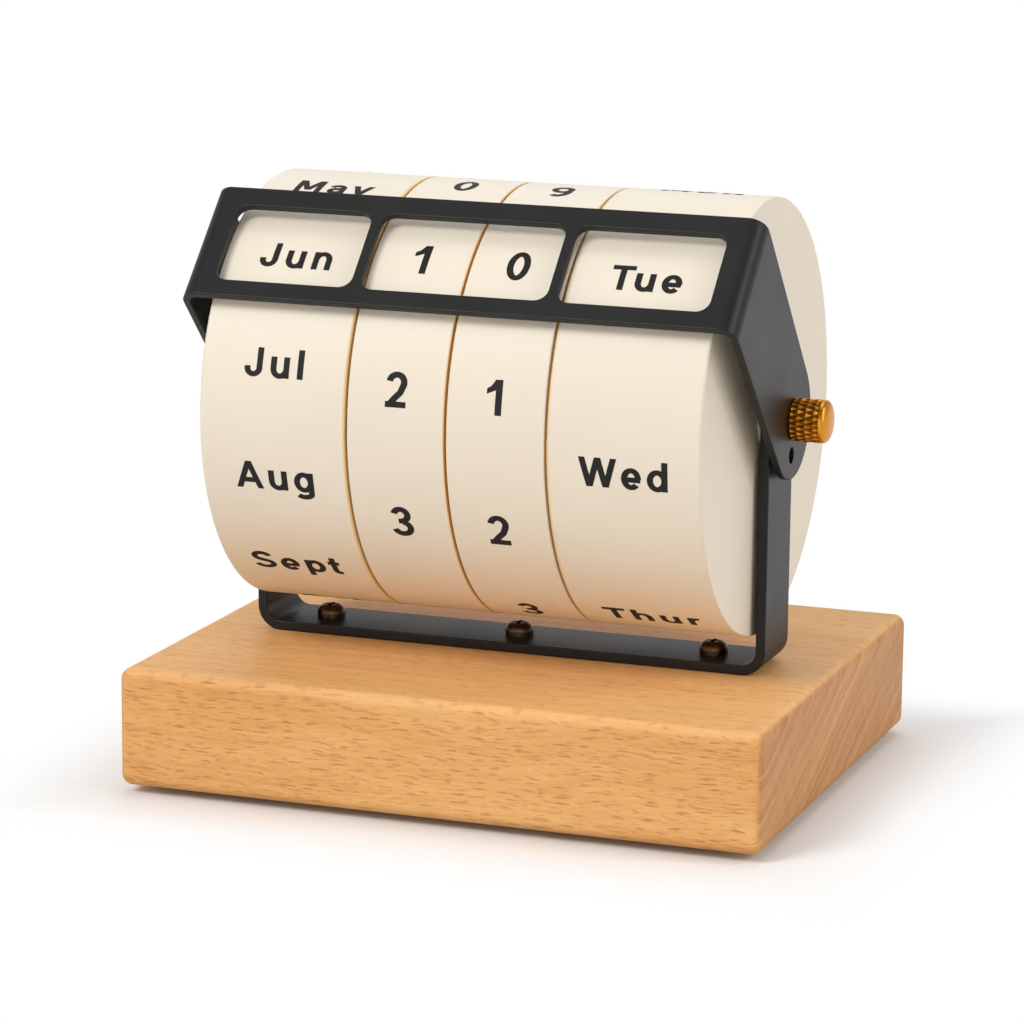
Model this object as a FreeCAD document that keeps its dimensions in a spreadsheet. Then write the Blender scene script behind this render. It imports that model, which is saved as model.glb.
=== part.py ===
import FreeCAD, Part
import math
import os
import re
import Sketcher

# Perpetual desk calendar: four ivory wheels on one axle, carried by a black U bracket on a beech block,
# with a black window frame that hangs on the same axle and is held at its tilt by two brass thumb nuts.
# The origin is on the table under the middle of the block. X runs along the axle, Y to the back and Z up,
# in millimetres.

# Driving dimensions
SIZES = {
    # beech block and its pads
    "base_length": 120.0,
    "base_depth": 95.0,
    "base_thickness": 21.6,
    "base_edge_radius": 2.0,
    "pad_diameter": 12.0,
    "pad_thickness": 1.5,
    "pad_inset": 13.0,
    # axle: how far it lies in front of the block's middle, and the room from the wheels to the screw heads
    "axle_forward": 2.6,
    "wheel_to_screw_gap": 2.5,
    "axle_diameter": 6.0,
    "thread_diameter": 4.0,
    "thread_chamfer": 0.5,
    "running_clearance": 0.05,
    # wheels
    "wheel_diameter": 78.3,
    "word_wheel_width": 27.6,
    "digit_wheel_width": 18.0,
    "wheel_gap": 0.45,
    "rim_wall": 2.4,
    "end_wall": 2.0,
    "hub_diameter": 13.0,
    "rib_thickness": 1.6,
    "rib_count": 6,
    "cap_thickness": 1.8,
    "cap_clearance": 0.05,
    "inner_edge_radius": 0.2,
    "outer_edge_radius": 0.35,
    # washers
    "spacer_diameter": 12.0,
    "end_washer_diameter": 11.0,
    "spring_space": 0.6,
    "spring_sheet": 0.25,
    "arm_washer_diameter": 10.0,
    "arm_washer_thickness": 0.8,
    # bracket
    "sheet_thickness": 1.8,
    "bracket_width": 14.5,
    "post_gap": 1.0,
    "bracket_bend_radius": 2.7,
    "sheet_edge_radius": 0.25,
    # bracket screws
    "screw_pitch": 37.3,
    "screw_diameter": 3.0,
    "screw_length": 13.0,
    "screw_point": 2.5,
    "screw_hole_clearance": 0.2,
    "head_diameter": 5.2,
    "head_height": 2.3,
    "head_round": 1.5,
    "recess_width": 0.8,
    "recess_length": 2.8,
    "recess_depth": 1.1,
    # window frame, measured square to its panel
    "frame_tilt": 45.0,
    "frame_sheet_thickness": 1.4,
    "panel_clearance": 0.85,
    "panel_height": 23.8,
    "panel_lift": 1.2,
    "frame_bend_radius": 1.8,
    "low_rail": 3.5,
    "high_rail": 4.0,
    # the bars lie a little off the gaps between the wheels
    "window_bar": 1.75,
    "left_bar_outwards": 0.45,
    "right_bar_inwards": 1.1,
    "word_hidden_edge": 0.675,
    "window_corner_radius": 2.4,
    "arm_end_radius": 10.8,
    "peep_hole_diameter": 3.05,
    "peep_hole_across": 5.2,
    "peep_hole_below": 3.8,
    # thumb nuts
    "nut_diameter": 7.8,
    "nut_length": 7.0,
    "nut_round": 1.3,
    "nut_chamfer": 0.3,
    "thread_engagement": 5.2,
    "thread_end_gap": 0.4,
}

# Places worked out from the driving dimensions
BASE_TOP = "(pad_thickness + base_thickness)"
WHEEL_RADIUS = "(wheel_diameter / 2)"
AXLE_RISE = f"({WHEEL_RADIUS} + wheel_to_screw_gap + head_height + sheet_thickness)"
AXLE_HEIGHT = f"({BASE_TOP} + {AXLE_RISE})"
DRUM_HALF = "(word_wheel_width + digit_wheel_width + wheel_gap * 1.5)"
POST_INNER = f"({DRUM_HALF} + post_gap)"
POST_OUTER = f"({POST_INNER} + sheet_thickness)"
ARM_INNER = f"({POST_OUTER} + arm_washer_thickness)"
ARM_OUTER = f"({ARM_INNER} + frame_sheet_thickness)"
PANEL_INNER = f"({WHEEL_RADIUS} + panel_clearance)"
PANEL_OUTER = f"({PANEL_INNER} + frame_sheet_thickness)"
PANEL_LOW = "(panel_lift - panel_height / 2)"
PANEL_HIGH = "(panel_lift + panel_height / 2)"
ARM_SHOULDER = f"({PANEL_INNER} - frame_bend_radius * 2)"
AXLE_BORE = "(axle_diameter + running_clearance * 2)"
THREAD_BORE = "(thread_diameter + running_clearance * 2)"
CAP_SEAT = "({width} - cap_thickness)"

document = FreeCAD.newDocument("desk_calendar")
bodies = []


def bound(formula):
    """The formula with each named size read from the sheet."""
    return re.sub(r"\b([a-z]+_[a-z_]+)\b", r"sizes.\1", str(formula))


def make_sheet():
    sheet = document.addObject("Spreadsheet::Sheet", "sizes")
    for row, (name, value) in enumerate(SIZES.items(), start=1):
        sheet.set(f"A{row}", name)
        sheet.set(f"B{row}", str(value))
        sheet.setAlias(f"B{row}", name)
    document.recompute()
    return sheet


sizes = make_sheet()


def number(formula):
    """The formula's value with the sheet's present sizes."""
    return float(sizes.evalExpression(str(formula)))


def bind(thing, prop, formula):
    thing.setExpression(prop, bound(formula))


def start_body(label, place_x="0", place_y="-axle_forward", place_z=AXLE_HEIGHT):
    """An empty body whose own origin lies at the given place."""
    body = document.addObject("PartDesign::Body", label)
    body.Label = label
    bind(body, ".Placement.Base.x", place_x)
    bind(body, ".Placement.Base.y", place_y)
    bind(body, ".Placement.Base.z", place_z)
    bodies.append(body)
    return body


def turn_body(body, axis, formula):
    body.Placement = FreeCAD.Placement(body.Placement.Base, FreeCAD.Rotation(axis, 1.0))
    bind(body, ".Placement.Rotation.Angle", formula)


def origin_part(body, role):
    return next(part for part in body.Origin.OriginFeatures if part.Role == role)


def start_sketch(body, name, plane, lift="0", along="0"):
    """A sketch on one of the body's origin planes, lifted along its normal and moved along its own X."""
    sketch = body.newObject("Sketcher::SketchObject", name)
    sketch.AttachmentSupport = [(origin_part(body, plane), "")]
    sketch.MapMode = "FlatFace"
    bind(sketch, ".AttachmentOffset.Base.z", lift)
    bind(sketch, ".AttachmentOffset.Base.x", along)
    return sketch


def constrain(sketch, formula, *words):
    """A dimension of the sketch, bound to the formula."""
    index = sketch.addConstraint(Sketcher.Constraint(*words, number(formula)))
    bind(sketch, f"Constraints[{index}]", formula)


def pin_point(sketch, edge, end, across, up):
    """Hold one point of the sketch at a place given by two formulas."""
    if str(across) == "0":
        sketch.addConstraint(Sketcher.Constraint("PointOnObject", edge, end, -2))
    else:
        constrain(sketch, across, "DistanceX", -1, 1, edge, end)
    if str(up) == "0":
        sketch.addConstraint(Sketcher.Constraint("PointOnObject", edge, end, -1))
    else:
        constrain(sketch, up, "DistanceY", -1, 1, edge, end)


def draw_polygon(sketch, corners):
    """A closed outline whose corners are pairs of formulas."""
    places = [FreeCAD.Vector(number(across), number(up), 0) for across, up in corners]
    edges = []
    for index, place in enumerate(places):
        after = places[(index + 1) % len(places)]
        edges.append(sketch.addGeometry(Part.LineSegment(place, after), False))
    for index, edge in enumerate(edges):
        after = edges[(index + 1) % len(edges)]
        sketch.addConstraint(Sketcher.Constraint("Coincident", edge, 2, after, 1))
    for edge, (across, up) in zip(edges, corners):
        pin_point(sketch, edge, 1, across, up)
    return edges


def draw_rectangle(sketch, left, right, low, high):
    return draw_polygon(sketch, [(left, low), (right, low), (right, high), (left, high)])


def draw_circle(sketch, across, up, diameter):
    centre = FreeCAD.Vector(number(across), number(up), 0)
    circle = Part.Circle(centre, FreeCAD.Vector(0, 0, 1), number(diameter) / 2)
    edge = sketch.addGeometry(circle, False)
    pin_point(sketch, edge, 3, across, up)
    constrain(sketch, diameter, "Diameter", edge)
    return edge


def pad_sketch(body, sketch, name, length, both_ways=False):
    pad = body.newObject("PartDesign::Pad", name)
    pad.Profile = sketch
    bind(pad, "Length", length)
    pad.SideType = "Symmetric" if both_ways else "One side"
    document.recompute()
    return pad


def cut_sketch(body, sketch, name, depth=None, both_ways=False):
    """A pocket, checked to have taken material away. With no depth it goes right through."""
    before = body.Shape.Volume
    pocket = body.newObject("PartDesign::Pocket", name)
    pocket.Profile = sketch
    if depth is None:
        pocket.Type = "ThroughAll"
    else:
        bind(pocket, "Length", depth)
    pocket.SideType = "Symmetric" if both_ways else "One side"
    document.recompute()
    if not body.Shape.Volume < before:
        raise ValueError(f"{name} cuts nothing")
    return pocket


def turn_sketch(body, sketch, name, axis="H_Axis"):
    revolution = body.newObject("PartDesign::Revolution", name)
    revolution.Profile = sketch
    revolution.ReferenceAxis = (sketch, [axis])
    revolution.Angle = 360
    document.recompute()
    return revolution


def edges_where(feature, wanted):
    """Names of the feature's edges for which wanted(edge) holds."""
    return [f"Edge{index}" for index, edge in enumerate(feature.Shape.Edges, start=1) if wanted(edge)]


def round_edges(body, feature, name, radius, wanted):
    names = edges_where(feature, wanted)
    if not names:
        raise ValueError(f"{name} finds no edge")
    fillet = body.newObject("PartDesign::Fillet", name)
    fillet.Base = (feature, names)
    bind(fillet, "Radius", radius)
    document.recompute()
    return fillet


def near(value, target):
    return math.isclose(value, target, abs_tol=1e-4)


def is_straight(edge):
    return isinstance(edge.Curve, Part.Line)


def runs_along(edge, axis):
    return is_straight(edge) and abs(edge.tangentAt(edge.FirstParameter)[axis]) > 0.9999


def is_ring(edge, radius):
    return isinstance(edge.Curve, Part.Circle) and near(edge.Curve.Radius, radius)


def middle(edge):
    return edge.BoundBox.Center


# Beech block: planed square, all its edges eased, with a pilot hole for each screw
def make_wooden_base():
    body = start_body("wooden_base", place_y="0", place_z="pad_thickness")
    sketch = start_sketch(body, "base_outline", "XY_Plane")
    draw_rectangle(sketch, "-base_length / 2", "base_length / 2", "-base_depth / 2", "base_depth / 2")
    block = pad_sketch(body, sketch, "base_block", "base_thickness")
    round_edges(body, block, "base_eased_edges", "base_edge_radius", is_straight)
    sketch = start_sketch(body, "pilot_centres", "XY_Plane", lift="base_thickness")
    for place in ("-screw_pitch", "0", "screw_pitch"):
        draw_circle(sketch, place, "-axle_forward", "screw_diameter")
    cut_sketch(body, sketch, "pilot_holes", "screw_length - sheet_thickness")


# Four thin pads stuck under the block's corners
def make_foot_pads():
    body = start_body("foot_pads", place_y="0", place_z="0")
    sketch = start_sketch(body, "pad_outlines", "XY_Plane")
    for side in ("-", ""):
        for end in ("-", ""):
            across = f"{side}(base_length / 2 - pad_inset)"
            up = f"{end}(base_depth / 2 - pad_inset)"
            draw_circle(sketch, across, up, "pad_diameter")
    pad_sketch(body, sketch, "pad_discs", "pad_thickness")


# U bracket: one strip bent up at both ends, the post tops rounded about the axle
def make_bracket():
    body = start_body("bracket", place_z=BASE_TOP)
    sketch = start_sketch(body, "strip_outline", "XZ_Plane")
    outline = [
        (f"-{POST_OUTER}", AXLE_RISE),
        (f"-{POST_OUTER}", "0"),
        (POST_OUTER, "0"),
        (POST_OUTER, AXLE_RISE),
        (POST_INNER, AXLE_RISE),
        (POST_INNER, "sheet_thickness"),
        (f"-{POST_INNER}", "sheet_thickness"),
        (f"-{POST_INNER}", AXLE_RISE),
    ]
    draw_polygon(sketch, outline)
    strip = pad_sketch(body, sketch, "strip", "bracket_width", both_ways=True)
    for side, lift in (("left", f"-{POST_OUTER}"), ("right", POST_INNER)):
        sketch = start_sketch(body, f"{side}_post_top", "YZ_Plane", lift=lift)
        draw_circle(sketch, "0", AXLE_RISE, "bracket_width")
        strip = pad_sketch(body, sketch, f"{side}_post_end", "sheet_thickness")
    strip = round_edges(
        body, strip, "inside_bends", "bracket_bend_radius",
        lambda edge: runs_along(edge, 1) and near(middle(edge).z, number("sheet_thickness")))
    strip = round_edges(
        body, strip, "outside_bends", "bracket_bend_radius + sheet_thickness",
        lambda edge: runs_along(edge, 1) and near(middle(edge).z, 0))
    # each rounding runs on round the bends and up the posts
    round_edges(body, strip, "strip_edges", "sheet_edge_radius", lambda edge: runs_along(edge, 0))
    sketch = start_sketch(body, "axle_hole_circle", "YZ_Plane")
    draw_circle(sketch, "0", AXLE_RISE, THREAD_BORE)
    cut_sketch(body, sketch, "axle_holes", both_ways=True)
    sketch = start_sketch(body, "screw_hole_circles", "XY_Plane")
    for place in ("-screw_pitch", "0", "screw_pitch"):
        draw_circle(sketch, place, "0", "screw_diameter + screw_hole_clearance * 2")
    cut_sketch(body, sketch, "screw_holes", both_ways=True)


# Three pan-head screws with a cross recess, their heads seated on the strip
def make_bracket_screws():
    body = start_body("bracket_screws", place_z=f"{BASE_TOP} + sheet_thickness")
    sketch = start_sketch(body, "screw_profile", "XZ_Plane", along="-screw_pitch")
    profile = [
        ("0", "-screw_length"),
        ("screw_diameter / 2", "-screw_length + screw_point"),
        ("screw_diameter / 2", "0"),
        ("head_diameter / 2", "0"),
        ("head_diameter / 2", "head_height"),
        ("0", "head_height"),
    ]
    draw_polygon(sketch, profile)
    turned = turn_sketch(body, sketch, "screw_turned", axis="V_Axis")

    def is_head_top(edge):
        return is_ring(edge, number("head_diameter / 2")) and near(middle(edge).z, number("head_height"))

    rounded = round_edges(body, turned, "head_rounding", "head_round", is_head_top)
    sketch = start_sketch(body, "recess_cross", "XY_Plane", lift="head_height", along="-screw_pitch")
    half_width = "recess_width / 2"
    half_length = "recess_length / 2"
    cross = []
    for turn in range(4):
        arm = [(half_length, f"-{half_width}"), (half_length, half_width), (half_width, half_width)]
        for across, up in arm:
            for _ in range(turn):
                across, up = f"-({up})", across
            cross.append((across, up))
    draw_polygon(sketch, cross)
    recess = cut_sketch(body, sketch, "recess", "recess_depth")
    row = body.newObject("PartDesign::LinearPattern", "screw_row")
    row.Originals = [turned, rounded, recess]
    row.TransformMode = "Whole shape"
    row.Direction = (origin_part(body, "X_Axis"), [""])
    bind(row, "Length", "screw_pitch * 2")
    row.Occurrences = 3
    body.Tip = row
    document.recompute()


# Axle: turned steel, its shoulders against the posts, its reduced ends threaded for the nuts
def make_axle():
    body = start_body("axle")
    sketch = start_sketch(body, "axle_profile", "XZ_Plane")
    tip = f"({ARM_OUTER} + thread_engagement)"
    half = [
        (POST_INNER, "axle_diameter / 2"),
        (POST_INNER, "thread_diameter / 2"),
        (f"{tip} - thread_chamfer", "thread_diameter / 2"),
        (tip, "thread_diameter / 2 - thread_chamfer"),
        (tip, "0"),
    ]
    other_half = [(f"-({across})", up) for across, up in reversed(half)]
    draw_polygon(sketch, half + other_half)
    turn_sketch(body, sketch, "axle_turned")


# Moulded wheel: rim, closed end, hub and ribs in one piece, open on the side where its cap goes in
def make_wheel(label, width, place, flipped, closed_edge):
    body = start_body(label, place_x=place)
    if flipped:
        turn_body(body, FreeCAD.Vector(0, 0, 1), "180")
    inside = f"({WHEEL_RADIUS} - rim_wall)"
    sketch = start_sketch(body, f"{label}_profile", "XZ_Plane")
    profile = [
        ("0", f"{AXLE_BORE} / 2"),
        (width, f"{AXLE_BORE} / 2"),
        (width, "hub_diameter / 2"),
        ("end_wall", "hub_diameter / 2"),
        ("end_wall", inside),
        (width, inside),
        (width, WHEEL_RADIUS),
        ("0", WHEEL_RADIUS),
    ]
    draw_polygon(sketch, profile)
    turned = turn_sketch(body, sketch, f"{label}_turned")

    def is_rim_edge(edge, across):
        return is_ring(edge, number(WHEEL_RADIUS)) and near(middle(edge).x, number(across))

    eased = round_edges(
        body, turned, f"{label}_closed_edge", closed_edge, lambda edge: is_rim_edge(edge, "0"))
    round_edges(
        body, eased, f"{label}_open_edge", "inner_edge_radius", lambda edge: is_rim_edge(edge, width))
    # each rib runs into the hub, the rim and the closed end, and stops where the cap rests on it
    sketch = start_sketch(body, f"{label}_rib_section", "YZ_Plane", lift="end_wall / 2")
    draw_rectangle(
        sketch, "-rib_thickness / 2", "rib_thickness / 2",
        "(hub_diameter + axle_diameter) / 4", f"{inside} + rim_wall / 4")
    rib = pad_sketch(body, sketch, f"{label}_rib", f"{CAP_SEAT.format(width=width)} - end_wall / 2")
    ribs = body.newObject("PartDesign::PolarPattern", f"{label}_ribs")
    ribs.Originals = [rib]
    ribs.Axis = (origin_part(body, "X_Axis"), [""])
    ribs.Angle = 360
    bind(ribs, "Occurrences", "rib_count")
    body.Tip = ribs
    document.recompute()


# Flat disc or washer on the axle, from one face at its own x = 0
def make_ring(label, place, thickness, outer, bore):
    body = start_body(label, place_x=place)
    sketch = start_sketch(body, f"{label}_section", "YZ_Plane")
    draw_circle(sketch, "0", "0", outer)
    draw_circle(sketch, "0", "0", bore)
    pad_sketch(body, sketch, f"{label}_disc", thickness)


# The cap sits on the ends of the ribs, flush with the wheel's open side
def make_wheel_cap(label, width, place, flipped):
    outer = "wheel_diameter - (rim_wall + cap_clearance) * 2"
    bore = "hub_diameter + cap_clearance * 2"
    seat = CAP_SEAT.format(width=width)
    low = f"{place} - {width}" if flipped else f"{place} + {seat}"
    make_ring(label, low, "cap_thickness", outer, bore)


def make_wheels():
    """The four wheels from left to right, each with its cap on the side towards the middle or the right."""
    left = f"-{DRUM_HALF}"
    tens = f"({left} + word_wheel_width + wheel_gap)"
    units = "(wheel_gap / 2)"
    weekday = DRUM_HALF
    row = [
        ("month", "word_wheel_width", left, False, "outer_edge_radius"),
        ("tens", "digit_wheel_width", tens, False, "inner_edge_radius"),
        ("units", "digit_wheel_width", units, False, "inner_edge_radius"),
        ("weekday", "word_wheel_width", weekday, True, "outer_edge_radius"),
    ]
    for name, width, place, flipped, closed_edge in row:
        make_wheel(f"{name}_wheel", width, place, flipped, closed_edge)
        make_wheel_cap(f"{name}_cap", width, place, flipped)


def make_spacer_washers():
    """Thin washers that keep neighbouring hubs apart."""
    places = {
        "month_spacer": f"-{DRUM_HALF} + word_wheel_width",
        "tens_spacer": "-wheel_gap / 2",
        "units_spacer": "wheel_gap / 2 + digit_wheel_width",
    }
    for label, place in places.items():
        make_ring(label, place, "wheel_gap", "spacer_diameter", AXLE_BORE)


# Coned washer of spring steel: its small edge on the left post, its large edge on the left end washer
def make_spring_washer():
    body = start_body("spring_washer", place_x=f"-{POST_INNER}")
    sketch = start_sketch(body, "spring_profile", "XZ_Plane")
    profile = [
        ("0", f"{AXLE_BORE} / 2"),
        ("spring_sheet", f"{AXLE_BORE} / 2"),
        ("spring_space", "end_washer_diameter / 2"),
        ("spring_space - spring_sheet", "end_washer_diameter / 2"),
    ]
    draw_polygon(sketch, profile)
    turn_sketch(body, sketch, "spring_turned")


def make_end_washers():
    left_thickness = "post_gap - spring_space"
    left_place = f"-{POST_INNER} + spring_space"
    make_ring("left_end_washer", left_place, left_thickness, "end_washer_diameter", AXLE_BORE)
    make_ring("right_end_washer", DRUM_HALF, "post_gap", "end_washer_diameter", AXLE_BORE)
    make_ring("left_arm_washer", f"-{ARM_INNER}", "arm_washer_thickness", "arm_washer_diameter", THREAD_BORE)
    make_ring("right_arm_washer", POST_OUTER, "arm_washer_thickness", "arm_washer_diameter", THREAD_BORE)


def draw_arm(sketch):
    """The side of an arm: as wide as the panel over the bend, then drawn in to a round end about the axle."""
    corners = [
        (PANEL_HIGH, ARM_SHOULDER),
        (PANEL_HIGH, PANEL_OUTER),
        (PANEL_LOW, PANEL_OUTER),
        (PANEL_LOW, ARM_SHOULDER),
    ]
    centre = FreeCAD.Vector(0, 0, 0)
    radius = FreeCAD.Vector(number("arm_end_radius"), 0, 0)
    places = [FreeCAD.Vector(number(across), number(up), 0) for across, up in corners]
    high_shoulder = places[0]
    low_shoulder = places[-1]
    # a tangent from a shoulder touches the end circle this far round from the shoulder's own direction
    high_turn = math.atan2(high_shoulder.y, high_shoulder.x) - math.acos(radius.Length / high_shoulder.Length)
    low_turn = math.atan2(low_shoulder.y, low_shoulder.x) + math.acos(radius.Length / low_shoulder.Length)
    upward = FreeCAD.Vector(0, 0, 1)
    high_touch = FreeCAD.Rotation(upward, math.degrees(high_turn)).multVec(radius)
    low_touch = FreeCAD.Rotation(upward, math.degrees(low_turn)).multVec(radius)
    points = [high_touch, *places, low_touch]
    lines = [sketch.addGeometry(Part.LineSegment(*pair), False) for pair in zip(points, points[1:])]
    circle = Part.Circle(centre, upward, radius.Length)
    end = sketch.addGeometry(Part.ArcOfCircle(circle, low_turn, high_turn + 2 * math.pi), False)
    for before, after in zip(lines, lines[1:]):
        sketch.addConstraint(Sketcher.Constraint("Coincident", before, 2, after, 1))
    sketch.addConstraint(Sketcher.Constraint("Coincident", end, 3, -1, 1))
    sketch.addConstraint(Sketcher.Constraint("Tangent", lines[-1], 2, end, 1))
    sketch.addConstraint(Sketcher.Constraint("Tangent", end, 2, lines[0], 1))
    for line, (across, up) in zip(lines, corners):
        pin_point(sketch, line, 2, across, up)
    constrain(sketch, "arm_end_radius", "Radius", end)


# Window frame: made square to its panel with the axle at its own origin, then tilted on the axle
def make_window_frame():
    body = start_body("window_frame")
    turn_body(body, FreeCAD.Vector(1, 0, 0), "frame_tilt")
    sketch = start_sketch(body, "panel_outline", "XY_Plane", lift=PANEL_INNER)
    draw_rectangle(sketch, f"-{ARM_OUTER}", ARM_OUTER, PANEL_LOW, PANEL_HIGH)
    frame = pad_sketch(body, sketch, "panel", "frame_sheet_thickness")
    for side, lift in (("left", f"-{ARM_OUTER}"), ("right", ARM_INNER)):
        sketch = start_sketch(body, f"{side}_arm_outline", "YZ_Plane", lift=lift)
        draw_arm(sketch)
        frame = pad_sketch(body, sketch, f"{side}_arm", "frame_sheet_thickness")

    def is_bend(edge, across, up):
        place = middle(edge)
        return runs_along(edge, 1) and near(abs(place.x), number(across)) and near(place.z, number(up))

    frame = round_edges(
        body, frame, "inner_bends", "frame_bend_radius",
        lambda edge: is_bend(edge, ARM_INNER, PANEL_INNER))
    round_edges(
        body, frame, "outer_bends", "frame_bend_radius + frame_sheet_thickness",
        lambda edge: is_bend(edge, ARM_OUTER, PANEL_OUTER))
    cut_windows(body)
    sketch = start_sketch(body, "axle_circle", "YZ_Plane")
    draw_circle(sketch, "0", "0", THREAD_BORE)
    draw_circle(sketch, "-peep_hole_across", "-peep_hole_below", "peep_hole_diameter")
    cut_sketch(body, sketch, "arm_holes", both_ways=True)


def cut_windows(body):
    """One wide window for the two digit wheels between two narrower ones, all with round corners."""
    sketch = start_sketch(body, "window_outlines", "XY_Plane", lift=PANEL_OUTER)
    low = f"({PANEL_LOW} + low_rail)"
    high = f"({PANEL_HIGH} - high_rail)"
    left_bar = "(digit_wheel_width + wheel_gap + left_bar_outwards)"
    right_bar = "(digit_wheel_width + wheel_gap - right_bar_inwards)"
    far_side = f"({DRUM_HALF} - word_hidden_edge)"
    draw_rectangle(sketch, f"-{left_bar} + window_bar / 2", f"{right_bar} - window_bar / 2", low, high)
    draw_rectangle(sketch, f"{right_bar} + window_bar / 2", far_side, low, high)
    draw_rectangle(sketch, f"-{far_side}", f"-{left_bar} - window_bar / 2", low, high)
    windows = cut_sketch(body, sketch, "windows", f"{PANEL_OUTER} - {WHEEL_RADIUS}")
    frame = round_edges(
        body, windows, "window_corners", "window_corner_radius",
        lambda edge: runs_along(edge, 2) and abs(middle(edge).x) < number(DRUM_HALF))
    # each rounding runs on round the bends and the window corners, so it takes in the whole outline
    round_edges(body, frame, "painted_edges", "sheet_edge_radius", lambda edge: runs_along(edge, 0))


# Thumb nut: brass, knurled, with a blind threaded bore and a domed end; its seat is at its own x = 0
def make_thumb_nut(label, place, flipped):
    body = start_body(label, place_x=place)
    if flipped:
        turn_body(body, FreeCAD.Vector(0, 0, 1), "180")
    bore_depth = "(thread_engagement + thread_end_gap)"
    sketch = start_sketch(body, f"{label}_profile", "XZ_Plane")
    profile = [
        ("0", f"{THREAD_BORE} / 2"),
        (bore_depth, f"{THREAD_BORE} / 2"),
        (bore_depth, "0"),
        ("nut_length", "0"),
        ("nut_length", "nut_diameter / 2"),
        ("nut_chamfer", "nut_diameter / 2"),
        ("0", "nut_diameter / 2 - nut_chamfer"),
    ]
    draw_polygon(sketch, profile)
    turned = turn_sketch(body, sketch, f"{label}_turned")

    def is_outer_end(edge):
        return is_ring(edge, number("nut_diameter / 2")) and near(middle(edge).x, number("nut_length"))

    round_edges(body, turned, f"{label}_dome", "nut_round", is_outer_end)


def check_document():
    """Every object is up to date and every sub-part has a valid shape."""
    for item in document.Objects:
        if "Invalid" in item.State or "Error" in item.State:
            raise ValueError(f"{item.Label} failed: {item.State}")
    for body in bodies:
        if body.Shape.isNull() or not body.Shape.isValid():
            raise ValueError(f"{body.Label} has no valid shape")


def write_parts():
    os.makedirs("parts", exist_ok=True)
    for body in bodies:
        body.Shape.exportStep(f"parts/{body.Label}.step")
        box = body.Shape.BoundBox
        print(f"{body.Label}: {len(body.Shape.Solids)} solid, {body.Shape.Volume:.0f} mm3, "
              f"x {box.XMin:.2f} to {box.XMax:.2f}, z {box.ZMin:.2f} to {box.ZMax:.2f}")


make_wooden_base()
make_foot_pads()
make_bracket()
make_bracket_screws()
make_axle()
make_wheels()
make_spacer_washers()
make_spring_washer()
make_end_washers()
make_window_frame()
make_thumb_nut("right_thumb_nut", ARM_OUTER, flipped=False)
make_thumb_nut("left_thumb_nut", f"-{ARM_OUTER}", flipped=True)
document.recompute()
check_document()
write_parts()
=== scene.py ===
import math

import bpy
from mathutils import Matrix, Vector
from mathutils.geometry import delaunay_2d_cdt


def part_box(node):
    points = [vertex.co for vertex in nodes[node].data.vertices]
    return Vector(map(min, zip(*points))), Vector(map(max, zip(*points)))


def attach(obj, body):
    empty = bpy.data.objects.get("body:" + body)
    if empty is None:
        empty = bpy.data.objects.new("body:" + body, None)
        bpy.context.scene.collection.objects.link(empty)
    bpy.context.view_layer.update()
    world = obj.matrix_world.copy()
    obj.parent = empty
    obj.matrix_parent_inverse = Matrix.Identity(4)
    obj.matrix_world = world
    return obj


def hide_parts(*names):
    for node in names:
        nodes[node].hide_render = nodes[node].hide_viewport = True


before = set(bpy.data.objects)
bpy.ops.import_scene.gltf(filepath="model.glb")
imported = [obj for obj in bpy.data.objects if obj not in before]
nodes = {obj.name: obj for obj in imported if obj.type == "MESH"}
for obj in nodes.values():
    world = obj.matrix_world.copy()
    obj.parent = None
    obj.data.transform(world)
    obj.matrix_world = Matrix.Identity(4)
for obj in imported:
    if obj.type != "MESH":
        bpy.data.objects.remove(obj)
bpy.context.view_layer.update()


# Camera
# The calendar stands a little turned, so that its right end shows, and is seen from just above
# the table through a long lens. The lens stays well back, which keeps the drum's sides parallel.
MM = 0.001
camera_turn = math.radians(20.02)
camera_rise = math.radians(12.22)
camera_roll = math.radians(0.54)
camera_distance = 761.8 * MM
camera_target = Vector((-2.64, 0, 47.04)) * MM

towards_camera = Vector((
    math.sin(camera_turn) * math.cos(camera_rise),
    -math.cos(camera_turn) * math.cos(camera_rise),
    math.sin(camera_rise),
))
level_right = Vector((math.cos(camera_turn), math.sin(camera_turn), 0))
level_up = towards_camera.cross(level_right)
picture_right = level_right * math.cos(camera_roll) + level_up * math.sin(camera_roll)
picture_up = level_up * math.cos(camera_roll) - level_right * math.sin(camera_roll)

lens = bpy.data.cameras.new("camera")
lens.sensor_width = 36
lens.lens = 146.19
lens.clip_start = 10 * MM
camera = bpy.data.objects.new("camera", lens)
bpy.context.scene.collection.objects.link(camera)
camera.matrix_world = (
    Matrix.Translation(camera_target + towards_camera * camera_distance)
    @ Matrix((picture_right, picture_up, towards_camera)).transposed().to_4x4()
)
bpy.context.scene.camera = camera
bpy.context.scene.view_settings.view_transform = "Standard"


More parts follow.
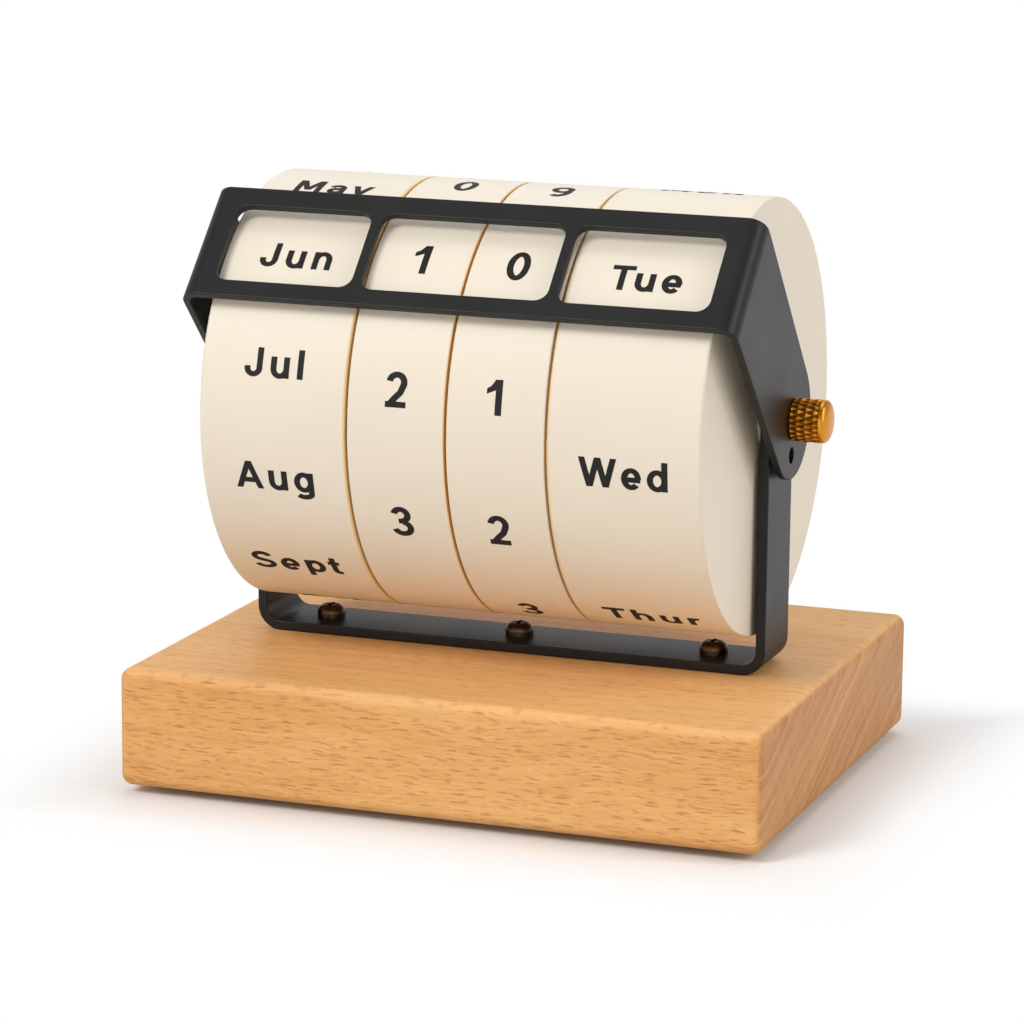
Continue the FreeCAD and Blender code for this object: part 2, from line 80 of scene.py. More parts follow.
# Studio table and lamps
# A white table top without an edge in sight, under a white tent that is dimmer overhead, with
# one strong softbox above on the left and fainter ones round the front, the right, the top and
# the back. A narrow one on the right draws the highlight along the window frame's bend.
class Reading:
    """What one shader node gives out. It adds, multiplies and so on like a number."""

    def __init__(self, finish, socket):
        self.finish = finish
        self.socket = socket

    def other(self, name):
        return Reading(self.finish, self.socket.node.outputs[name])

    def __add__(self, value):
        return self.finish.sum("ADD", self, value)

    def __radd__(self, value):
        return self.finish.sum("ADD", value, self)

    def __sub__(self, value):
        return self.finish.sum("SUBTRACT", self, value)

    def __rsub__(self, value):
        return self.finish.sum("SUBTRACT", value, self)

    def __mul__(self, value):
        return self.finish.sum("MULTIPLY", self, value)

    def __rmul__(self, value):
        return self.finish.sum("MULTIPLY", value, self)

    def __pow__(self, value):
        return self.finish.sum("POWER", self, value)

    def __rpow__(self, value):
        return self.finish.sum("POWER", value, self)

    def __abs__(self):
        return self.finish.sum("ABSOLUTE", self, 0)


class Finish:
    """The nodes that colour one material, or the tent round the table."""

    def __init__(self, owner):
        self.owner = owner
        owner.use_nodes = True
        self.tree = owner.node_tree
        self.tree.nodes.clear()

    def node(self, kind, settings=None, sockets=None, output=0):
        made = self.tree.nodes.new(kind)
        for name, value in (settings or {}).items():
            setattr(made, name, value)
        for name, value in (sockets or {}).items():
            if isinstance(value, Reading):
                self.tree.links.new(value.socket, made.inputs[name])
            else:
                made.inputs[name].default_value = value
        return Reading(self, made.outputs[output]) if made.outputs else None

    def sum(self, operation, first, second):
        return self.node("ShaderNodeMath", {"operation": operation}, {0: first, 1: second})

    def smooth(self, value, low, high):
        """0 where the value is at low or beyond, 1 where it is at high or beyond."""
        sockets = {"Value": value, "From Min": low, "From Max": high}
        return self.node("ShaderNodeMapRange", {"interpolation_type": "SMOOTHSTEP"}, sockets)

    def mix(self, share, first, second):
        return self.node("ShaderNodeMix", {"data_type": "RGBA"}, {0: share, 6: first, 7: second}, 2)

    def vector(self, operation, first, second=(0, 0, 0), output=0):
        return self.node("ShaderNodeVectorMath", {"operation": operation}, {0: first, 1: second}, output)


def light(level):
    """The linear light of a screen level from 0 to 255."""
    share = level / 255
    return share / 12.92 if share <= 0.04045 else ((share + 0.055) / 1.055) ** 2.4


def colour(red, green, blue):
    return (light(red), light(green), light(blue), 1)


table_span = 8
# the table as the camera sees it, and the shade of what it throws back on the calendar
table_shade = (0.93, 0.93, 0.93, 1)
bounce_shade = (0.62, 0.58, 0.52, 1)
# how far outside the block the shadow begins to fade, and where it has gone
shadow_reach = (0, 0.03)
base_low, base_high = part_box("wooden_base")
table_mesh = bpy.data.meshes.new("table_top")
corners = [(-1, -1, 0), (1, -1, 0), (1, 1, 0), (-1, 1, 0)]
table_mesh.from_pydata([Vector(corner) * table_span / 2 for corner in corners], [], [(0, 1, 2, 3)])
table = bpy.data.objects.new("table_top", table_mesh)
bpy.context.scene.collection.objects.link(table)

table_finish = Finish(bpy.data.materials.new("white_table"))
ray = table_finish.node("ShaderNodeLightPath")
seen = table_finish.smooth(ray + ray.other("Is Glossy Ray") + ray.other("Is Transmission Ray"), 0, 1)
spot = table_finish.node("ShaderNodeTexCoord").other("Object")
beside = table_finish.node("ShaderNodeSeparateXYZ", None, {0: spot})
beyond = table_finish.sum("MAXIMUM", abs(beside) - base_high.x, abs(beside.other("Y")) - base_high.y)
away = table_finish.smooth(beyond, *shadow_reach)
cloth = table_finish.mix(ray, bounce_shade, table_shade)
matt = table_finish.node("ShaderNodeBsdfDiffuse", None, {"Color": cloth})
white = table_finish.node("ShaderNodeEmission", None, {"Color": (1, 1, 1, 1), "Strength": 1})
table_look = table_finish.node("ShaderNodeMixShader", None, {0: seen * away, 1: matt, 2: white})
table_finish.node("ShaderNodeOutputMaterial", None, {"Surface": table_look})
table_mesh.materials.append(table_finish.owner)

tent_low = 0.72
tent_top = 0.34
tent_fade = (0.05, 0.8)
tent = Finish(bpy.data.worlds.new("tent"))
ray = tent.node("ShaderNodeLightPath")
height = tent.node("ShaderNodeSeparateXYZ", None, {0: tent.node("ShaderNodeTexCoord")}).other("Z")
level = tent.smooth(height, *tent_fade) * (tent_top - tent_low) + tent_low
tent_light = tent.node("ShaderNodeBackground", None, {"Color": (1, 1, 1, 1), "Strength": level})
tent_seen = tent.node("ShaderNodeBackground", None, {"Color": (1, 1, 1, 1), "Strength": 1})
tent_look = tent.node("ShaderNodeMixShader", None, {0: ray, 1: tent_light, 2: tent_seen})
tent.node("ShaderNodeOutputWorld", None, {"Surface": tent_look})
bpy.context.scene.world = tent.owner


def softbox(name, place, span, share, tint=(1, 1, 1)):
    """A softbox that looks at the drum and gives it this share of full white light."""
    lamp = bpy.data.lights.new(name, "AREA")
    lamp.shape = "RECTANGLE"
    lamp.size, lamp.size_y = span
    lamp.energy = share * math.pi ** 2 * Vector(place).length_squared
    lamp.color = tint
    stand = bpy.data.objects.new(name, lamp)
    bpy.context.scene.collection.objects.link(stand)
    stand.location = Vector(place) + camera_target
    stand.rotation_mode = "QUATERNION"
    stand.rotation_quaternion = Vector(place).to_track_quat("Z", "Y")
    stand.visible_camera = False


softbox("key_lamp", (-0.55, -1.0, 0.95), (0.6, 0.6), 0.52, (1, 0.985, 0.96))
softbox("front_lamp", (0.45, -1.3, 0.1), (0.9, 0.9), 0.10, (1, 0.97, 0.92))
softbox("right_lamp", (1.2, -0.1, 0.5), (0.5, 0.9), 0.17, (1, 0.97, 0.93))
softbox("bend_lamp", (0.94, 0.14, 0.69), (0.07, 0.3), 0.12)
softbox("top_lamp", (0.0, 0.35, 1.2), (0.8, 0.8), 0.20)
softbox("back_lamp", (-0.3, 1.2, 0.8), (0.8, 0.8), 0.06)


class Surface(Finish):
    """The finish of one kind of piece, laid out in millimetres on the piece itself."""

    def __init__(self, name):
        super().__init__(bpy.data.materials.new(name))
        coordinates = self.node("ShaderNodeTexCoord")
        self.facing = coordinates.other("Normal")
        self.spot = self.vector("MULTIPLY", coordinates.other("Object"), (1 / MM,) * 3)
        self.x, self.y, self.z = self.parts(self.spot)

    def parts(self, vector):
        x = self.node("ShaderNodeSeparateXYZ", None, {0: vector})
        return x, x.other("Y"), x.other("Z")

    def noise(self, sizes, at=None, detail=2.0, rough=0.5):
        """Soft random patches of about these sizes, mostly from 0.3 to 0.7."""
        scaled = self.vector("DIVIDE", at or self.spot, sizes)
        sockets = {"Vector": scaled, "Scale": 1, "Detail": detail, "Roughness": rough}
        return self.node("ShaderNodeTexNoise", None, sockets)

    def relief(self, height, depth):
        """Normals of a surface that rises this many millimetres where the height is 1."""
        sockets = {"Strength": 1, "Distance": depth * MM, "Height": height}
        return self.node("ShaderNodeBump", None, sockets)

    def shade(self, **sockets):
        """Ends the finish with its shader. Sockets are named with _ for a space."""
        named = {name.replace("_", " "): value for name, value in sockets.items()}
        shader = self.node("ShaderNodeBsdfPrincipled", None, named)
        self.node("ShaderNodeOutputMaterial", None, {"Surface": shader})

    def cover(self, *names):
        for name in names:
            for slot in nodes[name].material_slots:
                slot.material = self.owner


ray_slope = math.radians(21)
# the room that each ray fleck has along the grain, outwards and across, and half its own size
fleck_cell = (5.2, 14, 1.6)
fleck_half = (1.75, 0.17)

beech = Surface("satin_beech")
wander = beech.noise((38, 10, 10)) - 0.5
ripple = beech.noise((6, 5, 3), detail=1.0) - 0.5
outwards = beech.y * math.cos(ray_slope) + beech.z * math.sin(ray_slope) + wander * 5
across = beech.z * math.cos(ray_slope) - beech.y * math.sin(ray_slope) + wander * 1.6 + ripple * 1.0
grain = beech.node("ShaderNodeCombineXYZ", None, {0: beech.x, 1: outwards, 2: across})
cells = beech.vector("DIVIDE", grain, fleck_cell)
flecks = beech.node("ShaderNodeTexVoronoi", {"feature": "F1"}, {"Vector": cells, "Scale": 1})
offset = beech.vector("SUBTRACT", cells, flecks.other("Position"))
luck, length, _ = beech.parts(flecks.other("Color"))
half = (fleck_cell[0] / fleck_half[0], 0, fleck_cell[2] / fleck_half[1])
off_x, _, off_z = beech.parts(beech.vector("MULTIPLY", offset, half))
reach = (off_x * (1.5 - length * 0.8)) ** 2 + off_z ** 2
fleck = beech.smooth(reach, 1.0, 0.15) * beech.smooth(luck, 0.1, 0.75)
side_x, _, side_z = beech.parts(beech.facing)
on_end = beech.smooth(abs(side_x), 0.5, 0.9)
on_top = beech.smooth(abs(side_z), 0.5, 0.9)
fine = beech.noise((7, 0.5, 0.5), at=grain, detail=3.0, rough=0.6)
rings = beech.noise((90, 1.6, 22), at=grain, detail=3.0, rough=0.55)
end_lines = beech.noise((40, 60, 1.1), at=grain, detail=3.0, rough=0.65)
broad = beech.noise((50, 14, 9), detail=1.0)
tone = (rings - 0.5) * 1.1 + (fine - 0.5) * 1.1 + (broad - 0.5) * 0.7 + 0.6
# the top face is painted lighter than the front and the ends: painted light from above
long_grain = beech.mix(tone + on_top * 0.25, colour(214, 150, 84), colour(240, 187, 122))
end_tone = (end_lines - 0.5) * 2.2 + (rings - 0.5) * 0.5 + 0.5
end_grain = beech.mix(end_tone, colour(182, 124, 72), colour(222, 166, 110))
wood = beech.mix(on_end, long_grain, end_grain)
dashes = beech.smooth(beech.noise((2.6, 3, 0.36), at=grain, detail=1.0), 0.54, 0.7)
wood = beech.mix(dashes * (1 - on_end * 0.6) * (1 - on_top * 0.4) * 0.5, wood, colour(196, 130, 68))
fleck_share = fleck * (1 - on_top * 0.75) * (1 - on_end * 0.7) * 0.6
wood = beech.mix(fleck_share, wood, colour(176, 112, 54))
pores = (fine - 0.5) * 0.6 - fleck_share
beech.shade(
    Base_Color=wood,
    Roughness=0.5 + (fine - 0.5) * 0.12 + fleck_share * 0.1,
    Normal=beech.relief(pores, 0.012),
    Specular_IOR_Level=0.3,
)
beech.cover("wooden_base")


# Foot pads
# Four die-cut discs of dark wool felt, stuck under the block near its corners with their own
# gummed backing, so that the block doesn't scratch the table or slide on it.
felt = Surface("wool_felt")
fibres = felt.noise((0.35, 0.35, 0.35), detail=4.0, rough=0.7)
felt.shade(
    Base_Color=felt.mix(fibres, colour(38, 36, 34), colour(92, 88, 84)),
    Roughness=0.95,
    Normal=felt.relief(fibres, 0.15),
    Sheen_Weight=0.3,
)
felt.cover("foot_pads")


# Bracket
# One strip of sheet steel, punched and bent up at both ends into a wide U, whose posts carry the
# axle. It is sprayed and baked with a satin black paint, which leaves a very fine orange peel.
paint = Surface("satin_black_paint")
peel = paint.noise((0.5, 0.5, 0.5), detail=2.0)
clouds = paint.noise((14, 14, 14), detail=3.0)
dust = paint.smooth(paint.noise((0.25, 0.25, 0.25), detail=1.0), 0.7, 0.8)
black = paint.mix(clouds, colour(13, 13, 14), colour(21, 21, 21))
paint.shade(
    Base_Color=paint.mix(dust * 0.25, black, colour(70, 68, 64)),
    Roughness=0.44 + (clouds - 0.5) * 0.12 + dust * 0.1,
    Specular_IOR_Level=0.36,
    Normal=paint.relief(peel, 0.004),
)
paint.cover("bracket")


# Bracket screws
# Three dome-headed wood screws with a cross recess, of steel that was browned in a hot salt bath.
# Each head turns paler, in patches, towards its crown.
screw_metal = Surface("browned_steel")
mottle = screw_metal.noise((0.9, 0.9, 0.9), detail=3.0, rough=0.6)
head_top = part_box("bracket_screws")[1].z / MM
crown_depth = 1.2
crown = screw_metal.smooth(screw_metal.z, head_top - crown_depth, head_top)
brown = screw_metal.mix(mottle, colour(62, 50, 38), colour(122, 98, 72))
screw_metal.shade(
    Base_Color=screw_metal.mix(crown * mottle * 0.6, brown, colour(170, 146, 116)),
    Metallic=1.0,
    Roughness=0.34 + (mottle - 0.5) * 0.25,
    Normal=screw_metal.relief(mottle, 0.015),
)
screw_metal.cover("bracket_screws")


# Axle, spring washer and thrust washers
# The axle is a turned bar of bright steel, threaded at both ends. The spring washer is pressed
# from spring steel, and the plain washers between the wheels and beside the posts are white nylon.
steel = Surface("bright_steel")
turning = steel.noise((0.12, 4, 4), detail=2.0)
steel.shade(
    Base_Color=steel.mix(turning, colour(172, 172, 174), colour(214, 213, 210)),
    Metallic=1.0,
    Roughness=0.28 + (turning - 0.5) * 0.15,
    Normal=steel.relief(turning, 0.004),
)
steel.cover("axle", "spring_washer")

nylon = Surface("white_nylon")
haze = nylon.noise((1.5, 1.5, 1.5), detail=2.0)
nylon.shade(
    Base_Color=nylon.mix(haze, colour(226, 223, 214), colour(242, 240, 234)),
    Roughness=0.45 + (haze - 0.5) * 0.1,
    Normal=nylon.relief(haze, 0.01),
)
nylon.cover("month_spacer", "tens_spacer", "units_spacer", "left_end_washer", "right_end_washer")
nylon.cover("left_arm_washer", "right_arm_washer")


# Month wheel
# A hollow wheel of ivory coloured plastic, moulded open on one side and closed there by a cap.
# The twelve short month names are pad printed round its rim in matt black, one each 30 degrees.
wheel_low, wheel_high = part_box("month_wheel")
rim_radius = (wheel_high.z - wheel_low.z) / 2 / MM
axle_place = (wheel_low + wheel_high) / 2 / MM
# how far from the inner end of a wide wheel, or from the drum's middle, the rim has its full painted
# shade, a warm tan for the dim bounce light inside the seams, and how much further it takes to fade
seam_edge = 0.225
seam_shade_fade = 0.3

plastic = Surface("ivory_plastic")
cloud = plastic.noise((22, 22, 22), detail=2.0)
speck = plastic.noise((0.35, 0.35, 0.35), detail=1.0)
to_word_seam = abs(abs(plastic.x) + wheel_high.x / MM)
to_middle = abs(plastic.x)
to_seam = plastic.sum("MINIMUM", to_word_seam, to_middle) - seam_edge
# the rim is painted a warm tan next to the seams between the wheels: painted shade for the gaps
painted_seam_shade = plastic.smooth(to_seam, seam_shade_fade, 0)
ivory = plastic.mix(cloud, colour(232, 221, 204), colour(238, 228, 212))
plastic.shade(
    Base_Color=plastic.mix(painted_seam_shade * 0.9, ivory, colour(234, 192, 122)),
    Roughness=0.46 + (cloud - 0.5) * 0.1,
    Normal=plastic.relief(speck, 0.006),
)
plastic.cover("month_wheel", "month_cap")


class Pen:
    """Draws strokes as four-cornered pieces. Its widths are in hundredths of a capital's height."""

    def __init__(self, upright, level):
        self.half_x = upright / 2
        self.half_y = level / 2

    def block(self, left, right, low, high):
        return [[(left, low), (right, low), (right, high), (left, high)]]

    def stem(self, middle, low=0, high=100):
        return self.block(middle - self.half_x, middle + self.half_x, low, high)

    def bar(self, middle, left, right):
        return self.block(left, right, middle - self.half_y, middle + self.half_y)

    def slant(self, foot, head, low=0, high=100, width=22):
        """A slanting stroke, cut level at both ends."""
        half = width / 2
        return [[(foot - half, low), (foot + half, low), (head + half, high), (head - half, high)]]

    def ribbon(self, *stops):
        """A curved stroke through points and bows, as thick as the pen allows in each direction."""
        path = [point for stop in stops for point in (stop if isinstance(stop, list) else [stop])]
        sides = []
        for at, point in enumerate(path):
            before = path[max(at - 1, 0)]
            after = path[min(at + 1, len(path) - 1)]
            normal = Vector((before[1] - after[1], after[0] - before[0])).normalized()
            reach = math.hypot(self.half_x * normal.x, self.half_y * normal.y)
            spread = Vector((self.half_x ** 2 * normal.x, self.half_y ** 2 * normal.y)) / reach
            sides.append((tuple(Vector(point) + spread), tuple(Vector(point) - spread)))
        return [[left, right, next_right, next_left]
                for (left, right), (next_left, next_right) in zip(sides, sides[1:])]

    def ring(self, middle_x, middle_y, radius_x, radius_y):
        round_path = bow(middle_x, middle_y, radius_x, radius_y, 0, 360)
        return self.ribbon(round_path[-2], round_path, round_path[1])[1:-1]


def bow(middle_x, middle_y, radius_x, radius_y, start, end):
    """Points of an elliptical arc, from the start angle to the end angle in degrees."""
    steps = max(4, round(abs(end - start) / 12))
    angles = [math.radians(start + (end - start) * step / steps) for step in range(steps + 1)]
    return [(middle_x + radius_x * math.cos(a), middle_y + radius_y * math.sin(a)) for a in angles]


pen = Pen(21.5, 18)
bowl = pen.ring(35, 36, 25, 29)
LETTERS = {
    "J": pen.ribbon((54, 100), (54, 62), (54, 30), bow(32, 30, 22, 21.5, -8, -172), (10, 36)),
    "F": pen.stem(10) + pen.bar(91.5, 0, 70) + pen.bar(52, 0, 62),
    "M": pen.stem(10) + pen.stem(86) + pen.slant(48, 13, 18, 100) + pen.slant(48, 83, 18, 100),
    "A": pen.slant(11, 50) + pen.slant(89, 50) + pen.bar(31, 24, 76),
    "S": pen.ribbon(bow(40, 72, 28, 19.5, 12, 250), bow(41, 28.5, 31, 20, 72, -168)),
    "O": pen.ring(48, 50, 38, 42),
    "N": pen.stem(10) + pen.stem(70) + pen.slant(70, 10, width=24),
    "D": (pen.stem(10) + pen.bar(91.5, 0, 37) + pen.bar(8.5, 0, 37)
          + pen.ribbon(bow(36, 50, 38.5, 41.5, 90, -90))),
    "T": pen.stem(40, high=92) + pen.bar(91.5, 0, 80),
    "W": (pen.slant(38, 10.5) + pen.slant(38, 66) + pen.slant(94, 66) + pen.slant(94, 121.5)),
    "a": (pen.stem(53, high=44) + pen.ribbon(bow(31, 44, 22, 19.5, 160, 0), (53, 36))
          + pen.ribbon((53, 38), (30, 36), bow(28, 21.5, 18, 14, 100, 270),
                       (34, 7.5), (46, 12), (53, 19))),
    "b": pen.stem(10) + bowl,
    "c": pen.ribbon(bow(36, 36, 26, 29, 45, 315)),
    "d": pen.stem(60) + bowl,
    "e": pen.ribbon(bow(34, 36, 24, 29, -2, 318)) + pen.bar(33, 14, 66),
    "g": pen.stem(60, -8, 72) + bowl + pen.ribbon((60, -2), bow(34, -6, 26, 14, 0, -150)),
    "h": pen.stem(10) + pen.stem(57, high=42) + pen.ribbon(bow(33.5, 40, 23.5, 25, 180, 0)),
    "i": pen.stem(10, high=72) + pen.stem(10, 83, 101),
    "l": pen.stem(10),
    "n": pen.stem(10, high=72) + pen.stem(57, high=42) + pen.ribbon(bow(33.5, 40, 23.5, 25, 180, 0)),
    "o": pen.ring(36, 36, 26, 29),
    "p": pen.stem(10, -27, 72) + bowl,
    "r": pen.stem(10, high=72) + pen.ribbon(bow(35, 38, 25, 26, 180, 74)),
    "t": (pen.stem(20, 18, 95) + pen.bar(64, 0, 42)
          + pen.ribbon((20, 22), bow(34, 20, 14, 12.5, 180, 270), (43, 7.8))),
    "u": pen.stem(57, high=72) + pen.ribbon((10, 72), (10, 50), bow(33.5, 32, 23.5, 25, 180, 350)),
    "v": pen.slant(38, 10.5, high=72) + pen.slant(38, 66, high=72),
    "y": (pen.slant(37, 10.5, 0, 72) + pen.slant(33, 66, -8, 72)
          + pen.ribbon((36, 0), (32, -10), (25, -17), (17, -19.5), (7, -18.5))),
}
# the room that a sign keeps beside its straight, round or open side, and what the T takes back
STRAIGHT, ROUND, OPEN = 10, 5, 1
LEFT_SIDES = {**dict.fromkeys("JSOacdego", ROUND), **dict.fromkeys("ATWvyt", OPEN)}
RIGHT_SIDES = {**dict.fromkeys("SODbceopFr", ROUND), **dict.fromkeys("ATWvyt", OPEN)}
KERNS = {"Tu": -13}
capital_height = 5.2
letter_gap = 0.5
word_print = (LETTERS, capital_height, letter_gap)
ink_height = 0.03
ink_depth = 0.05
ink_step = 1.0

ink = Surface("matt_black_ink")
ink_grain = ink.noise((0.12, 0.12, 0.12), detail=2.0)
ink.shade(
    Base_Color=ink.mix(ink_grain, colour(14, 12, 12), colour(28, 25, 23)),
    Roughness=0.6 + (ink_grain - 0.5) * 0.2,
    Specular_IOR_Level=0.3,
    Normal=ink.relief(ink_grain, 0.004),
)


def lay_out(text, signs, height, gap):
    """The strokes of a word in millimetres, with its ink centred on the origin."""
    scale = height / 100
    pieces = []
    cursor = 0
    for at, sign in enumerate(text):
        strokes = signs[sign]
        left = min(x for stroke in strokes for x, _ in stroke)
        right = max(x for stroke in strokes for x, _ in stroke)
        cursor += LEFT_SIDES.get(sign, STRAIGHT) - left
        pieces += [[(x + cursor, y) for x, y in stroke] for stroke in strokes]
        beside = RIGHT_SIDES.get(sign, STRAIGHT) + gap / scale
        cursor += right + beside + KERNS.get(text[at:at + 2], 0)
    all_x = [x for piece in pieces for x, _ in piece]
    middle = (min(all_x) + max(all_x)) / 2
    return [[((x - middle) * scale, (y - 50) * scale) for x, y in piece] for piece in pieces]


def leftwards(piece):
    """The corners in anticlockwise order."""
    area = sum(a[0] * b[1] - b[0] * a[1] for a, b in zip(piece, piece[1:] + piece[:1]))
    return piece if area > 0 else piece[::-1]


def print_wheel(name, body, middle_x, marks, signs, height, gap):
    """Raised ink on one wheel's rim. Marks are pairs of a text and its angle above the front."""
    points, faces = [], []
    for text, angle in marks:
        pieces = [leftwards(piece) for piece in lay_out(text, signs, height, gap)]
        flat = [Vector(point) for piece in pieces for point in piece]
        corners = [list(range(start, start + 4)) for start in range(0, len(flat), 4)]
        left = min(point.x for point in flat) - 1
        right = max(point.x for point in flat) + 1
        low = min(point.y for point in flat)
        rows = math.ceil((max(point.y for point in flat) - low) / ink_step)
        cuts = []
        for row in range(rows + 1):
            cuts.append((len(flat), len(flat) + 1))
            flat += [Vector((left, low + row * ink_step)), Vector((right, low + row * ink_step))]
        union = delaunay_2d_cdt(flat, cuts, corners, 0, 1e-5)
        kept = [face for face, source in zip(union[2], union[5]) if source]
        first = len(points)
        for radius in (rim_radius + ink_height, rim_radius - ink_depth):
            for point in union[0]:
                turn = math.radians(angle) + point.y / rim_radius
                points.append((
                    middle_x + point.x,
                    axle_place.y - radius * math.cos(turn),
                    axle_place.z + radius * math.sin(turn),
                ))
        under = len(union[0])
        edges = {(face[i - 1], face[i]) for face in kept for i in range(len(face))}
        walls = [(a, a + under, b + under, b) for a, b in edges if (b, a) not in edges]
        tops = [tuple(face) for face in kept]
        bottoms = [tuple(corner + under for corner in reversed(face)) for face in kept]
        for face in tops + bottoms + sorted(walls):
            faces.append([first + corner for corner in face])
    mesh = bpy.data.meshes.new(name)
    used = sorted({corner for face in faces for corner in face})
    place = {corner: at for at, corner in enumerate(used)}
    mesh.from_pydata([Vector(points[corner]) * MM for corner in used], [],
                     [[place[corner] for corner in face] for face in faces])
    mesh.materials.append(ink.owner)
    piece = bpy.data.objects.new(name, mesh)
    bpy.context.scene.collection.objects.link(piece)
    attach(piece, body)


def middle_of(node):
    low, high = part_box(node)
    return (low.x + high.x) / 2 / MM


months = ["Jan", "Feb", "Mar", "Apr", "May", "Jun", "Jul", "Aug", "Sept", "Oct", "Nov", "Dec"]
month_pitch = 360 / len(months)
june_angle = 45.5
month_marks = [(word, june_angle + month_pitch * (5 - at)) for at, word in enumerate(months)]
print_wheel("month_print", "month", middle_of("month_wheel"), month_marks, *word_print)


# Tens wheel
# The same moulding, narrower, for the first digit of the date. It has ten places, and carries the
# four digits that a date can begin with twice round, each run followed by one blank place.
plastic.cover("tens_wheel", "tens_cap")

fine_pen = Pen(19.5, 17)
DIGITS = {
    "0": fine_pen.ring(33, 50, 24, 42),
    "1": (fine_pen.stem(36)
          + [[(0, 59), (28, 71), (28, 80), (0, 74)], [(0, 74), (28, 76), (28, 81), (11, 81)]]
          + [[(11, 81), (28, 80), (28, 91), (19, 91)], [(19, 91), (28, 90), (28, 100), (24, 100)]]),
    "2": (fine_pen.bar(8, 0, 62)
          + fine_pen.ribbon(bow(32, 70, 22, 22, 172, -22), (44, 42), (27, 25), (12, 6))),
    "3": (fine_pen.ribbon(bow(33, 73, 20.5, 19.5, 168, -75)) + fine_pen.bar(52, 24, 46)
          + fine_pen.ribbon(bow(33, 28, 24, 20.5, 80, -165))),
    "4": fine_pen.stem(44) + fine_pen.bar(29, 0, 66) + fine_pen.slant(8, 42, 29, 100, 20),
    "5": (fine_pen.bar(92, 14, 62) + fine_pen.ribbon((19, 96), (13, 48))
          + fine_pen.ribbon((12, 47), bow(33, 33, 24, 25, 125, -162))),
    "6": fine_pen.ring(34, 32, 24, 24.5) + fine_pen.ribbon(bow(36, 50, 26, 42, 180, 55)),
    "7": fine_pen.bar(92, 0, 64) + fine_pen.ribbon((56, 90), (42, 62), (31, 32), (26, 0)),
    "8": fine_pen.ring(33, 73.5, 20, 18.5) + fine_pen.ring(33, 28.5, 24, 20.5),
    "9": fine_pen.ring(32, 68, 24, 24.5) + fine_pen.ribbon(bow(30, 50, 26, 42, 0, -125)),
}
digit_height = 6.2
digit_print = (DIGITS, digit_height, 0)
digit_pitch = 36
tens_one_angle = 47.1
tens = ["0", "1", "2", "3", "", "0", "1", "2", "3", ""]
tens_marks = [(sign, tens_one_angle + digit_pitch * (1 - at)) for at, sign in enumerate(tens) if sign]
print_wheel("tens_print", "tens", middle_of("tens_wheel"), tens_marks, *digit_print)


# Units wheel
# The second narrow wheel, for the last digit of the date, with all ten digits round its rim.
# They count up downwards, so that a turn of the front upwards by one place is one day more.
plastic.cover("units_wheel", "units_cap")
zero_angle = 47.0
print_leftwards = 0.35
units_marks = [(str(digit), zero_angle - digit_pitch * digit) for digit in range(10)]
units_middle = middle_of("units_wheel") - print_leftwards
print_wheel("units_print", "units", units_middle, units_marks, *digit_print)


# Weekday wheel
# As wide as the month wheel, with the seven short names of the days at even steps round its rim.
# It is the month wheel's moulding turned round, so its closed end faces the right post and its
# cap faces the units wheel.
plastic.cover("weekday_wheel", "weekday_cap")
days = ["Mon", "Tue", "Wed", "Thur", "Fri", "Sat", "Sun"]
day_pitch = 360 / len(days)
tuesday_angle = 45.5
day_marks = [(word, tuesday_angle + day_pitch * (1 - at)) for at, word in enumerate(days)]
print_wheel("weekday_print", "weekday", middle_of("weekday_wheel"), day_marks, *word_print)


# Window frame
# Cut from thinner sheet steel than the bracket, with three round-cornered windows, then bent back
# into two arms that hang on the axle's ends outside the posts, and painted the same satin black.
paint.cover("window_frame")


# Thumb nuts
# Turned from brass bar with a diamond knurl rolled into the barrel and a polished, rounded end.
# Handling has kept the crests bright, and the grooves have gone brown.
knurl_columns = 22
knurl_rows = 36
knurl_period = 3.05
knurl_depth = 0.24
knurl_flat = 0.85
dome_depth = 1.5
dome_fullness = 0.8
dome_rings = (12, 24, 36, 48, 60, 70, 79, 87)
seat_chamfer = 0.3
bore_radius = 2.05
bore_depth = 5.6
nut_low, nut_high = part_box("right_thumb_nut")
nut_radius = (nut_high.z - nut_low.z) / 2 / MM
nut_length = (nut_high.x - nut_low.x) / MM

brass = Surface("turned_brass")
from_axle = brass.vector("SUBTRACT", brass.spot, (0, axle_place.y, axle_place.z))
from_axle = brass.vector("LENGTH", brass.vector("MULTIPLY", from_axle, (0, 1, 1)), output=1)
to_seat = abs(brass.x) - nut_low.x / MM
barrel = brass.smooth(to_seat, nut_length - dome_depth + 0.05, nut_length - dome_depth - 0.15)
groove = brass.smooth(from_axle, nut_radius - 0.06, nut_radius - knurl_depth) * barrel
stain = brass.noise((0.8, 0.8, 0.8), detail=3.0, rough=0.6)
bright = brass.mix(stain, colour(200, 126, 34), colour(226, 156, 56))
brass.shade(
    Base_Color=brass.mix(groove * 0.8, bright, colour(132, 74, 18)),
    Metallic=1.0,
    Roughness=0.3 + (stain - 0.5) * 0.1 + groove * 0.15,
    Normal=brass.relief(stain, 0.006),
)


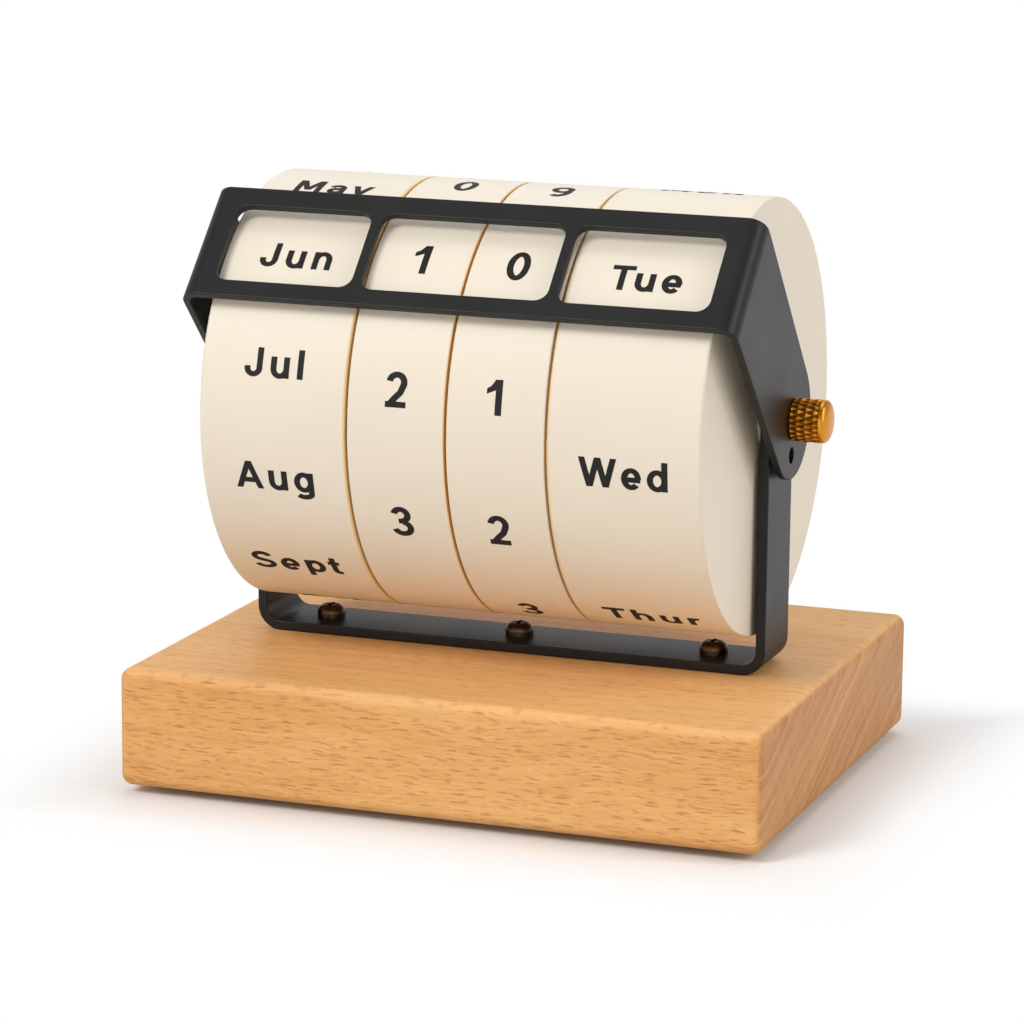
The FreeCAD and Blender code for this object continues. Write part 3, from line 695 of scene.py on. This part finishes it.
def groove_share(along, turn):
    """0 in the middle of a groove of the diamond knurl, 1 on the flat of a crest."""
    around = turn * knurl_columns / math.tau
    shares = []
    for slope in (1, -1):
        step = (around + slope * along / knurl_period) % 1
        shares.append(1 - abs(2 * step - 1))
    return min(1, min(shares) / knurl_flat)


def turn_nut(name, node, body, side):
    """A knurled nut about the axle. Side is 1 for the nut at the right, and -1 at the left."""
    knurl_end = nut_length - dome_depth
    profile = [(bore_depth, bore_radius), (0, bore_radius), (0, nut_radius - seat_chamfer)]
    profile += [
        (seat_chamfer + (knurl_end - seat_chamfer) * row / knurl_rows, nut_radius)
        for row in range(knurl_rows + 1)
    ]
    for angle in dome_rings:
        rise = math.sin(math.radians(angle)) ** dome_fullness
        reach = math.cos(math.radians(angle)) ** dome_fullness
        profile.append((knurl_end + dome_depth * rise, nut_radius * reach))
    sides = knurl_columns * 12
    points = []
    for along, radius in profile:
        for at in range(sides):
            turn = math.tau * at / sides
            reach = radius
            if radius == nut_radius and along < knurl_end:
                reach -= knurl_depth * (1 - groove_share(along, turn))
            points.append((
                (nut_low.x / MM + along) * side,
                axle_place.y + reach * math.cos(turn),
                axle_place.z + reach * math.sin(turn),
            ))
    faces = []
    last = (len(profile) - 1) * sides
    for low in range(0, last, sides):
        for at in range(sides):
            beside = (at + 1) % sides
            faces.append([low + at, low + beside, low + sides + beside, low + sides + at])
    faces.append([last + at for at in range(sides)])
    faces.append([at for at in reversed(range(sides))])
    if side < 0:
        faces = [face[::-1] for face in faces]
    mesh = bpy.data.meshes.new(name)
    mesh.from_pydata([Vector(point) * MM for point in points], [], faces)
    mesh.shade_smooth()
    mesh.set_sharp_from_angle(angle=math.radians(32))
    mesh.materials.append(brass.owner)
    nut = bpy.data.objects.new(name, mesh)
    bpy.context.scene.collection.objects.link(nut)
    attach(nut, body)
    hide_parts(node)


turn_nut("right_knurled_nut", "right_thumb_nut", "right_nut", 1)
turn_nut("left_knurled_nut", "left_thumb_nut", "left_nut", -1)
